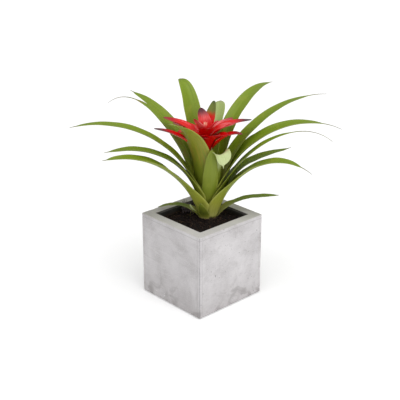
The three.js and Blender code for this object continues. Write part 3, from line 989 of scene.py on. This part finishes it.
# name, compass, lean, reach, rise, droop, width, layer, and what differs; degrees and millimetres
leafTable = [
    ("leaf_inner_front", 235, 15, 40, 140, 5, 28, 0, {"point": 4, "tone": 0.3}),
    ("leaf_inner_back", 32, 0, 90, 185, 60, 24, 0, {"point": 20, "tail": 0, "tone": 0.6, "bloom": 0.5}),
    ("leaf_front_arched", 259, 16, 48, 102, 170, 38, 1, {
        "point": 14, "tipPull": 0.7, "bend": 19, "tone": 0.7, "bloom": 0.8,
    }),
    ("leaf_front_broad", 184, 5, 98, 190, 75, 58, 1, {"point": 4, "bend": 46, "tone": 0.6, "flush": 0.8}),
    ("leaf_back_broad", 74, 14, 110, 222, 95, 31, 2, {
        "point": 9, "tail": 0, "bend": 40, "tipPull": 0.2, "tone": 0.5,
    }),
    ("leaf_right_1", 10, 0, 200, 200, 100, 30, 2, {"footPull": 0.46, "point": 5, "tone": 0.5}),
    ("leaf_left_1", 95, 5, 190, 193, 80, 28, 3, {"point": 5, "tone": 0.5}),
    ("leaf_right_2", 340, 4, 230, 196, 98, 34, 3, {"point": 2.6, "tail": 0.12, "tone": 0.4}),
    ("leaf_left_2", 115, 5, 190, 185, 130, 22, 4, {"point": 4, "tail": 0.2, "tone": 0.45, "dry": 0.9}),
    ("leaf_right_3", 325, 3, 235, 148, 118, 34, 4, {"footPull": 0.5, "tail": 0.12, "tone": 0.4}),
    ("leaf_left_3", 140, 2, 235, 165, 105, 26, 5, {"footPull": 0.46, "tone": 0.4}),
    ("leaf_right_4", 310, 5, 210, 145, 130, 24, 5, {"point": 4, "tail": 0.26, "tone": 0.45}),
    ("leaf_right_short", 353, 12, 130, 130, 105, 20, 6, {"point": 3, "tail": 0.25, "tone": 0.5}),
    ("leaf_left_4", 150, 3, 180, 130, 100, 28, 6, {"footPull": 0.5, "sheathEnd": 0.42, "tone": 0.3}),
    ("leaf_back_low_1", 50, 15, 120, 70, 110, 22, 6, {"tone": 0.3}),
    ("leaf_right_5", 335, 10, 155, 110, 80, 26, 7, {
        "footPull": 0.55, "sheathEnd": 0.42, "point": 4, "tone": 0.55,
    }),
    ("leaf_left_5", 160, 18, 190, 128, 95, 32, 7, {
        "wrap": 2.6, "widestFoot": 58, "sheathEnd": 0.46, "tone": 0.55,
    }),
    ("leaf_right_6", 302, 14, 180, 94, 128, 30, 8, {
        "footPull": 0.54, "wrap": 2.6, "widestFoot": 60, "sheathEnd": 0.48, "tail": 0.1, "tone": 0.45,
    }),
    ("leaf_front_small", 208, 24, 40, 38, 20, 15, 8, {"wrap": 0.8, "bend": 16, "point": 3, "tone": 0.0}),
    ("leaf_front_stub", 172, 24, 38, 30, 10, 10, 9, {"wrap": 0.5, "point": 4, "tone": 0.8, "bloom": 1.0}),
    ("leaf_left_low", 130, 38, 90, 11, 110, 12, 9, {"wrap": 0.8, "tone": 0.15}),
    ("leaf_back_low_2", 60, 30, 85, 35, 115, 18, 9, {"wrap": 1.2, "tone": 0.3}),
    ("leaf_right_low", 315, 35, 125, 40, 85, 16, 9, {"wrap": 1, "tone": 0.35}),
]

leafForm = {
    "steps": 60, "across": 14, "thickness": 0.9, "wrap": 2.2, "widestFoot": 46, "sheathEnd": 0.34,
    "point": 6, "tail": 0.04, "bend": 24, "groove": 0.45, "ripple": 0.6, "rippleTurns": 3, "edgeShare": 0.3,
}

# compass, lean, reach, rise, droop, width, layer, drop of the foot, and what differs
bractTable = [
    (85, 2, 12, 48, 8, 34, 0, 0, {"darkTip": 0.9, "pinkHighlight": 0.9}),
    (180, 14, 24, 36, 25, 28, 0, 0, {"pinkHighlight": 1.0}),
    (300, 20, 24, 30, 60, 22, 0, 0, {"pinkHighlight": 0.4}),
    (15, 15, 30, 58, 20, 22, 1, 0, {"greenTip": 1.0}),
    (240, 20, 26, 24, 60, 28, 1, 0, {}),
    (110, 42, 62, 20, 75, 26, 2, 0, {"pinkHighlight": 0.9}),
    (160, 40, 50, 18, 80, 28, 2, 0, {"pinkHighlight": 0.3}),
    (320, 35, 52, 26, 75, 26, 2, 0, {"pinkHighlight": 0.8}),
    (335, 35, 85, 28, 85, 22, 3, 0, {"darkTip": 1.0}),
    (120, 40, 75, 34, 70, 26, 3, 0, {"darkTip": 0.4}),
    (205, 30, 40, 26, 75, 32, 3, 8, {}),
    (0, 45, 66, 28, 70, 24, 4, 0, {"darkTip": 0.3, "pinkHighlight": 1.0}),
    (150, 45, 88, 46, 75, 24, 4, 18, {"darkTip": 0.9}),
    (285, 30, 46, 26, 80, 32, 4, 8, {}),
    (45, 45, 60, 25, 75, 20, 5, 0, {}),
    (300, 35, 66, 34, 95, 26, 5, 14, {"darkTip": 0.6}),
    (262, 26, 40, 34, 70, 34, 5, 12, {}),
    (225, 24, 34, 34, 65, 32, 5, 16, {}),
]

bractForm = {
    "steps": 32, "across": 12, "thickness": 0.8, "wrap": 2, "widestFoot": 15, "sheathEnd": 0.35,
    "point": 2.6, "tail": 0, "bend": 16, "groove": 0.5, "ripple": 0.4, "rippleTurns": 1.6, "edgeShare": 0.3,
}

bladeTip = {"rounding": 0.7, "width": 0.8, "tailWidth": 1.8, "shortestTail": 0.02, "bodyShare": 0.9}


def towards(degrees):
    return np.array([math.sin(math.radians(degrees)), math.cos(math.radians(degrees))])


def stepped(values, low, high):
    share = np.clip((values - low) / (high - low), 0, 1)
    return share * share * (3 - 2 * share)


def midrib(blade):
    start = np.array([blade["foot"], blade["footHeight"]])
    end = np.array([blade["reach"], blade["height"]])
    span = np.linalg.norm(end - start)
    first = start + towards(blade["lean"]) * blade["footPull"] * span
    second = end - towards(blade["droop"]) * blade["tipPull"] * span
    t = np.linspace(0, 1, 401)[:, None]
    line = (1 - t) ** 3 * start + 3 * (1 - t) ** 2 * t * first + 3 * (1 - t) * t**2 * second + t**3 * end
    lengths = np.concatenate([[0], np.cumsum(np.linalg.norm(np.diff(line, axis=0), axis=1))])
    share = np.linspace(0, 1, blade["steps"] + 1)
    share = 1 - (1 - share) ** 1.15  # a little closer together near the tip
    at = np.stack([np.interp(share * lengths[-1], lengths, line[:, k]) for k in (0, 1)], axis=1)
    along = np.gradient(at, axis=0)
    return share, at, along / np.linalg.norm(along, axis=1)[:, None], lengths[-1]


# faces of a thin closed shell: the points of its lower grid come first, then those of its upper grid
def shellFaces(columns, rows):
    faces = []
    top = columns * rows
    for i in range(rows - 1):
        for k in range(columns - 1):
            a = i * columns + k
            faces.append((a, a + columns, a + columns + 1, a + 1))
            faces.append((top + a, top + a + 1, top + a + columns + 1, top + a + columns))
        left, right = i * columns, i * columns + columns - 1
        faces.append((left, top + left, top + left + columns, left + columns))
        faces.append((right, right + columns, top + right + columns, top + right))
    for row, flip in ((0, False), (rows - 1, True)):
        for k in range(columns - 1):
            a = row * columns + k
            strip = (a, a + 1, top + a + 1, top + a)
            faces.append(tuple(reversed(strip)) if flip else strip)
    return faces


def bladeMesh(blade):
    share, at, along, length = midrib(blade)
    compass = math.radians(blade["compass"])
    out = np.array([math.cos(compass), math.sin(compass), 0])
    side = np.array([-out[1], out[0], 0])
    up = np.array([0, 0, 1])
    inward = -along[:, 1:2] * out + along[:, 0:1] * up
    middle = np.array([*blade["axis"], 0]) / mm + at[:, 0:1] * out + at[:, 1:2] * up
    sheathEnd = blade["sheathEnd"]
    opening = stepped(share, 0.3 * sheathEnd, sheathEnd)
    foot = np.minimum(blade["wrap"] * at[:, 0], blade["widestFoot"])
    tip = np.clip(1 - (share / (1 - blade["tail"])) ** blade["point"], 0, 1) ** bladeTip["rounding"]
    tail = np.minimum((1 - share) / max(blade["tail"], bladeTip["shortestTail"]), 1)
    width = (foot * (1 - opening) + blade["width"] * opening) * tip
    width += bladeTip["width"] * (0.4 + 0.6 * tail) + bladeTip["tailWidth"] * tail
    bend = at[:, 0] + (blade["bend"] - at[:, 0]) * stepped(share, 0.15 * sheathEnd, 1.2 * sheathEnd)
    cross = np.linspace(-1, 1, blade["across"] + 1)
    angle = cross[None, :] * (width / 2 / bend)[:, None]
    phase = blade["compass"] * 0.37
    turns = 2 * math.pi * blade["rippleTurns"] * share[:, None]
    waves = np.sin(turns + phase + 1.3 * (cross > 0))  # the two halves ripple out of step
    waves += 0.5 * np.sin(2.3 * turns + 2 * phase - 0.9 * (cross > 0))
    rippleSize = blade["ripple"] * min(blade["width"] / 26, 1)  # narrow blades ripple less
    ripple = rippleSize * waves * np.abs(cross) ** 1.6 * stepped(share, 0.2, 0.5)[:, None] * tip[:, None]
    groove = -blade["groove"] * np.exp(-((cross / 0.16) ** 2)) * (opening * tip)[:, None]
    bodyEnd = 1 - max(blade["tail"], bladeTip["shortestTail"])
    covered = np.interp(share, [0, bodyEnd, 1], [0, bladeTip["bodyShare"], 1])  # V along body and tail
    points, cover, upper = [], [], []
    for face in (-1, 1):
        thin = 1 - (1 - blade["edgeShare"]) * cross**2
        lift = face * blade["thickness"] / 2 * thin[None, :]
        lift = lift * (1.6 - 0.6 * tip[:, None]) * (0.4 + 0.6 * tail[:, None]) + ripple + groove
        radius = bend[:, None] - lift
        layer = (
            middle[:, None, :]
            + side * (radius * np.sin(angle))[:, :, None]
            + inward[:, None, :] * (bend[:, None] - radius * np.cos(angle))[:, :, None]
        )
        points.append(layer.reshape(-1, 3) * mm)
        grid = np.stack(np.broadcast_arrays((cross[None, :] + 1) / 2, covered[:, None]), axis=2)
        cover.append(grid.reshape(-1, 2))
        upper += [(face + 1) / 2] * (len(share) * len(cross))
    faces = shellFaces(len(cross), len(share))
    return np.concatenate(points), faces, np.concatenate(cover), np.array(upper)


def bladePiece(name, blade, material, tint):
    points, faces, cover, upper = bladeMesh(blade)
    piece = newPiece(name, points, faces, material)
    mesh = piece.data
    uvs = mesh.uv_layers.new(name="bladeMap")
    corners = np.zeros(len(mesh.loops), np.int32)
    mesh.loops.foreach_get("vertex_index", corners)
    uvs.data.foreach_set("uv", cover[corners].astype(np.float32).ravel())
    colors = np.ones((len(points), 4), np.float32)
    colors[:, 0] = upper
    colors[:, 1], colors[:, 2], colors[:, 3] = tint
    mesh.attributes.new("bladeTint", "FLOAT_COLOR", "POINT").data.foreach_set("color", colors.ravel())
    return piece


leafLook = {
    # sheath and neck: their own pale colour, brightened further as painted light against the shade at the foot of
    # the rosette
    "sheath": rgb(196, 194, 108),
    "neck": rgb(160, 162, 60),
    "blade": rgb(118, 140, 20),
    "far": rgb(124, 148, 32),
    "tail": rgb(98, 92, 58),
    "tip": rgb(70, 60, 48),
    "deep": rgb(72, 90, 8),
    "bright": rgb(144, 164, 34),
    # under: partly the paler underside green, partly painted light that lifts the shaded undersides
    "under": rgb(126, 134, 44),
    "margin": rgb(182, 186, 96),
    "dry": rgb(132, 84, 38),
    "flush": rgb(172, 116, 56),
    "bloom": rgb(204, 216, 164),
}


def bladeInputs(tree):
    cover = put(tree, "ShaderNodeUVMap", None, uv_map="bladeMap").outputs["UV"]
    parts = put(tree, "ShaderNodeSeparateXYZ", {"Vector": cover}).outputs
    tint = put(tree, "ShaderNodeAttribute", None, attribute_name="bladeTint")
    tintParts = put(tree, "ShaderNodeSeparateColor", {"Color": tint.outputs["Color"]}).outputs
    return cover, parts, tintParts["Red"], tintParts["Green"], tintParts["Blue"], tint.outputs["Alpha"]


def makeLeaf(look):
    material, tree, shader = newMaterial(
        "greenLeaf", {"Specular IOR Level": 0.32, "Coat Weight": 0.05, "Coat Roughness": 0.25}
    )
    cover, parts, upper, tone, dryness, special = bladeInputs(tree)
    place = objectPlace(tree)
    along = parts["Y"]
    # colour along the blade from foot to tip; the pale sheath and neck are partly painted light that lifts the
    # shade deep in the rosette
    color = ramp(
        tree,
        along,
        [
            (0.0, look["sheath"]),
            (0.14, look["neck"]),
            (0.36, look["blade"]),
            (0.88, look["far"]),
            (0.93, look["tail"]),
            (1.0, look["tip"]),
        ],
    )
    spread = remap(tree, along, 0.05, 0.4)
    # per-blade tone from deep to bright green: partly each leaf's own green, partly painted shade on the low,
    # tucked-in blades
    deepShare = times(tree, remap(tree, tone, 0.45, 0.0, 0, 0.75), spread)
    color = blendColors(tree, deepShare, color, look["deep"])
    brightShare = times(tree, remap(tree, tone, 0.45, 1.0, 0, 0.8), spread)
    color = blendColors(tree, brightShare, color, look["bright"])
    veins = grouped(tree, veinGroup, {"Vector": cover, "Count": 42, "Stretch": 3.0})
    color = blendColors(tree, remap(tree, veins["Streaks"], 0.5, 0.3, 0, 0.45), color, look["deep"])
    color = blendColors(tree, remap(tree, veins["Streaks"], 0.52, 0.72, 0, 0.4), color, look["bright"])
    mottle = mottled(tree, place, 30, 500, 0.3)
    color = blendColors(tree, remap(tree, mottle["Patches"], 0.52, 0.68, 0, 0.3), color, look["neck"])
    # undersides: partly their own paler green, partly painted light that lifts their shade
    underShare = times(tree, minus(tree, 1.0, upper), spread)
    underShare = times(tree, underShare, remap(tree, along, 0.93, 0.88, 0, 0.6))
    color = blendColors(tree, underShare, color, look["under"])
    flushBand = times(tree, remap(tree, along, 0.35, 0.5), remap(tree, along, 0.85, 0.7))
    flushPatch = times(tree, flushBand, remap(tree, veins["Streaks"], 0.4, 0.65))
    bloomMask = remap(tree, special, 0.55, 1.0)
    flushMask = times(tree, remap(tree, special, 0.45, 0.05), flushPatch)
    color = blendColors(tree, times(tree, flushMask, 0.45), color, look["flush"])
    bloomPatch = times(tree, remap(tree, along, 0.5, 0.7), remap(tree, mottle["Tone"], 0.35, 0.6, 0.5, 1))
    color = blendColors(tree, times(tree, bloomMask, bloomPatch), color, look["bloom"])
    dryPatch = times(
        tree, remap(tree, veins["Streaks"], 0.42, 0.6), remap(tree, mottle["Patches"], 0.5, 0.62)
    )
    color = blendColors(tree, times(tree, dryness, dryPatch), color, look["dry"])
    color = blendColors(tree, times(tree, veins["Margin"], 0.3), color, look["margin"])
    rough = remap(tree, mottle["Tone"], 0.3, 0.7, 0.4, 0.55)
    height = plus(tree, veins["Streaks"], times(tree, veins["Ridges"], 0.25))
    finishShader(tree, shader, color, rough, height, 0.0004, 0.55)
    return material


def leafBlade(row):
    name, compass, lean, reach, rise, droop, width, layer, extra = row
    foot = bladeFrame["innerFoot"] + bladeFrame["footPitch"] * layer
    crown = bladeFrame["crownTop"] / mm
    blade = dict(leafForm, **bladePull, axis=bladeFrame["leafAxis"])
    blade.update(compass=compass, lean=lean, reach=reach, droop=droop, width=width, foot=foot)
    blade.update(footHeight=crown, height=crown + rise)
    blade.update(extra)
    return name, blade


leafMaterial = makeLeaf(leafLook)
for row in leafTable:
    name, blade = leafBlade(row)
    special = 0.5 + 0.5 * blade.get("bloom", 0) - 0.5 * blade.get("flush", 0)
    tint = (blade.get("tone", 0.4), blade.get("dry", 0.0), special)
    piece = bladePiece(name + "_blade", blade, leafMaterial, tint)
    fit(piece, "planting", "green_leaf", name)
print("leaves:", len(leafTable))

# bracts of the flower

bractLook = {
    "foot": rgb(140, 0, 2),
    "heart": rgb(230, 2, 2),
    "blade": rgb(224, 6, 8),
    "far": rgb(196, 12, 26),
    "tip": rgb(104, 28, 44),
    # pale pink used for painted highlights on the bracts
    "pinkHighlight": rgb(250, 132, 134),
    "darkTip": rgb(62, 30, 44),
    "greenTip": rgb(112, 124, 52),
    "greenEnd": rgb(58, 74, 48),
    "under": rgb(196, 0, 3),
    # light: pale pink for painted streak highlights
    "light": rgb(244, 84, 86),
}


def makeBract(look):
    material, tree, shader = newMaterial(
        "redBract", {"Specular IOR Level": 0.35, "Coat Weight": 0.25, "Coat Roughness": 0.15}
    )
    cover, parts, upper, greenTip, darkTip, pinkHighlight = bladeInputs(tree)
    place = objectPlace(tree)
    along = parts["Y"]
    color = ramp(
        tree,
        along,
        [
            (0.0, look["foot"]),
            (0.2, look["heart"]),
            (0.6, look["blade"]),
            (0.85, look["far"]),
            (1.0, look["tip"]),
        ],
    )
    veins = grouped(tree, veinGroup, {"Vector": cover, "Count": 26, "Stretch": 2.0})
    color = blendColors(tree, remap(tree, veins["Streaks"], 0.5, 0.3, 0, 0.5), color, look["under"])
    # paler pink along the lighter streaks: a painted highlight
    color = blendColors(tree, remap(tree, veins["Streaks"], 0.55, 0.75, 0, 0.3), color, look["light"])
    # undersides darker red: partly their own deeper red, partly painted shade
    underShare = minus(tree, 1.0, upper)
    color = blendColors(tree, times(tree, underShare, 0.6), color, look["under"])
    # pale pink streaks across the middle of chosen bracts: a painted highlight
    pinkHighlightBand = times(tree, remap(tree, along, 0.35, 0.6), remap(tree, along, 0.92, 0.75))
    pinkHighlightPatch = times(tree, pinkHighlightBand, remap(tree, veins["Streaks"], 0.35, 0.6, 0.1, 0.8))
    color = blendColors(tree, times(tree, pinkHighlight, pinkHighlightPatch), color, look["pinkHighlight"])
    edgePlace = plus(tree, along, times(tree, minus(tree, veins["Streaks"], 0.5), 0.25))
    greenMask = times(tree, greenTip, remap(tree, edgePlace, 0.5, 0.68))
    color = blendColors(tree, greenMask, color, look["greenTip"])
    greenEnd = times(tree, greenTip, remap(tree, edgePlace, 0.78, 0.98))
    color = blendColors(tree, greenEnd, color, look["greenEnd"])
    darkMask = times(tree, darkTip, remap(tree, edgePlace, 0.55, 0.85))
    color = blendColors(tree, darkMask, color, look["darkTip"])
    mottle = mottled(tree, place, 80, 900, 0.3)
    rough = remap(tree, mottle["Tone"], 0.3, 0.7, 0.26, 0.42)
    finishShader(tree, shader, color, rough, veins["Streaks"], 0.0003, 0.5)
    return material


bractMaterial = makeBract(bractLook)
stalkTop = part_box("flower_stalk")[1].z
for index, row in enumerate(bractTable):
    compass, lean, reach, rise, droop, width, layer, drop, extra = row
    footHeight = stalkTop / mm - bladeFrame["bractsBelowTop"] - layer * bladeFrame["bractLayer"] - drop
    foot = bladeFrame["bractFoot"] + bladeFrame["bractPitch"] * (layer + 1)
    blade = dict(bractForm, **bladePull, axis=bladeFrame["flowerAxis"])
    blade.update(compass=compass, lean=lean, reach=reach, droop=droop, width=width, foot=foot)
    blade.update(footHeight=footHeight, height=footHeight + rise)
    tint = (extra.get("greenTip", 0.0), extra.get("darkTip", 0.0), extra.get("pinkHighlight", 0.0))
    name = "bract_" + str(index + 1)
    fit(bladePiece(name + "_blade", blade, bractMaterial, tint), "planting", "red_bract", name)
print("bracts:", len(bractTable))

# flower buds and stalk

budLow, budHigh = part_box("flower_bud")
buds = {
    "count": 6,
    "radius": 0.0017,
    "ring": 0.0024,
    "height": budHigh.z - budLow.z,
    "colors": [
        (0.0, rgb(176, 10, 14)),
        (0.45, rgb(222, 40, 40)),
        (0.75, rgb(246, 150, 130)),
        (1.0, rgb(252, 226, 190)),
    ],
}


def budMesh(centre, radius, height, lean):
    rings, steps, sides = [], 14, 12
    for i in range(steps + 1):
        share = i / steps
        size = radius * math.sin(math.pi * min(share * 0.9 + 0.08, 1)) ** 0.7 * (1 - 0.35 * share)
        size = max(size, radius * 0.06)
        ring = []
        for k in range(sides):
            angle = k / sides * 2 * math.pi
            lobe = 1 + 0.1 * math.cos(3 * angle + share * 2)
            ring.append(
                Vector(centre)
                + Vector((math.cos(angle) * size * lobe, math.sin(angle) * size * lobe, height * share))
                + Vector(lean) * share * share
            )
        rings.append(ring)
    return skin(rings)


def makeBud(look):
    material, tree, shader = newMaterial("flowerBud", {"Roughness": 0.35, "Coat Weight": 0.3})
    place = objectPlace(tree)
    parts = put(tree, "ShaderNodeSeparateXYZ", {"Vector": place}).outputs
    mottle = mottled(tree, place, 260, 1200, 0.3)
    share = remap(tree, parts["Z"], budLow.z, budHigh.z)
    share = plus(tree, share, times(tree, minus(tree, mottle["Tone"], 0.5), 0.4))
    finishShader(tree, shader, ramp(tree, share, look["colors"]), None, mottle["Speckle"], 0.0002, 0.4)
    return material


budCentre = (budLow + budHigh) / 2
budShapes = [budMesh((budCentre.x, budCentre.y, budLow.z), buds["radius"] * 1.1, buds["height"], (0, 0, 0))]
for i in range(buds["count"]):
    angle = i / buds["count"] * 2 * math.pi + 0.4
    out = Vector((math.cos(angle), math.sin(angle), 0))
    spot = Vector((budCentre.x, budCentre.y, budLow.z)) + out * buds["ring"]
    budShapes.append(budMesh(spot, buds["radius"], buds["height"] * (0.72 + 0.2 * (i % 2)), out * 0.0008))
budPiece = newPiece("flowerBuds", *joinMeshes(budShapes), makeBud(buds))
fit(budPiece, "planting", "flower_bud", "flower_bud")


def makeStalk():
    material, tree, shader = newMaterial("greenStalk", {"Roughness": 0.45, "Coat Weight": 0.1})
    place = objectPlace(tree)
    parts = put(tree, "ShaderNodeSeparateXYZ", {"Vector": place}).outputs
    strandPlace = put(tree, "ShaderNodeMapping", {"Vector": place, "Scale": (1, 1, 0.06)}).outputs["Vector"]
    strands = cloud(tree, strandPlace, 900, 3, 0.6)
    color = ramp(
        tree,
        remap(tree, parts["Z"], 0.146, stalkTop),
        [
            (0.0, rgb(150, 160, 90)),
            (0.6, rgb(120, 150, 62)),
            (0.85, rgb(150, 90, 50)),
            (1.0, rgb(150, 14, 12)),
        ],
    )
    color = blendColors(tree, remap(tree, strands, 0.5, 0.35, 0, 0.4), color, rgb(80, 98, 40))
    finishShader(tree, shader, color, None, strands, 0.0003, 0.5)
    return material


stalk = {
    "foot": (0.014, -0.001, 0.144),
    "top": (0.010, 0.003, stalkTop),
    "radius": 0.0042,
    "joints": 5,
    "rings": 60,
    "sides": 20,
}


def stalkMesh(p):
    rings = []
    for i in range(p["rings"] + 1):
        share = i / p["rings"]
        centre = Vector(p["foot"]).lerp(Vector(p["top"]), share)
        swell = max(0, math.cos(2 * math.pi * share * p["joints"])) ** 8
        size = p["radius"] * (1 - 0.3 * share) * (1 + 0.12 * swell)
        rings.append(
            [
                centre + Vector((math.cos(a), math.sin(a), 0)) * size * (1 + 0.03 * math.cos(5 * a))
                for a in (k / p["sides"] * 2 * math.pi for k in range(p["sides"]))
            ]
        )
    return skin(rings)


stalkPiece = newPiece("flowerStalk", *stalkMesh(stalk), makeStalk())
fit(stalkPiece, "planting", "green_stalk", "flower_stalk")
print("flower done")

# floor


def makeFloor(tone, glow):
    looks = {"Roughness": 0.9, "Specular IOR Level": 0.1}
    looks.update({"Emission Color": (1, 1, 1, 1), "Emission Strength": glow})
    material, tree, shader = newMaterial("paleFloor", looks)
    shade = cloud(tree, objectPlace(tree), 3, 2)
    color = ramp(tree, shade, [(0.3, (tone * 0.99, tone * 0.99, tone, 1)), (0.7, (tone, tone, tone, 1))])
    finishShader(tree, shader, color)
    return material


span = studio["floorSize"] / 2
floorPoints = [(-span, -span, 0), (span, -span, 0), (span, span, 0), (-span, span, 0)]
floorMaterial = makeFloor(studio["floorTone"], studio["floorGlow"])
floorPiece = newPiece("floor", floorPoints, [(0, 1, 2, 3)], floorMaterial, smooth=False)

print("scene ready")
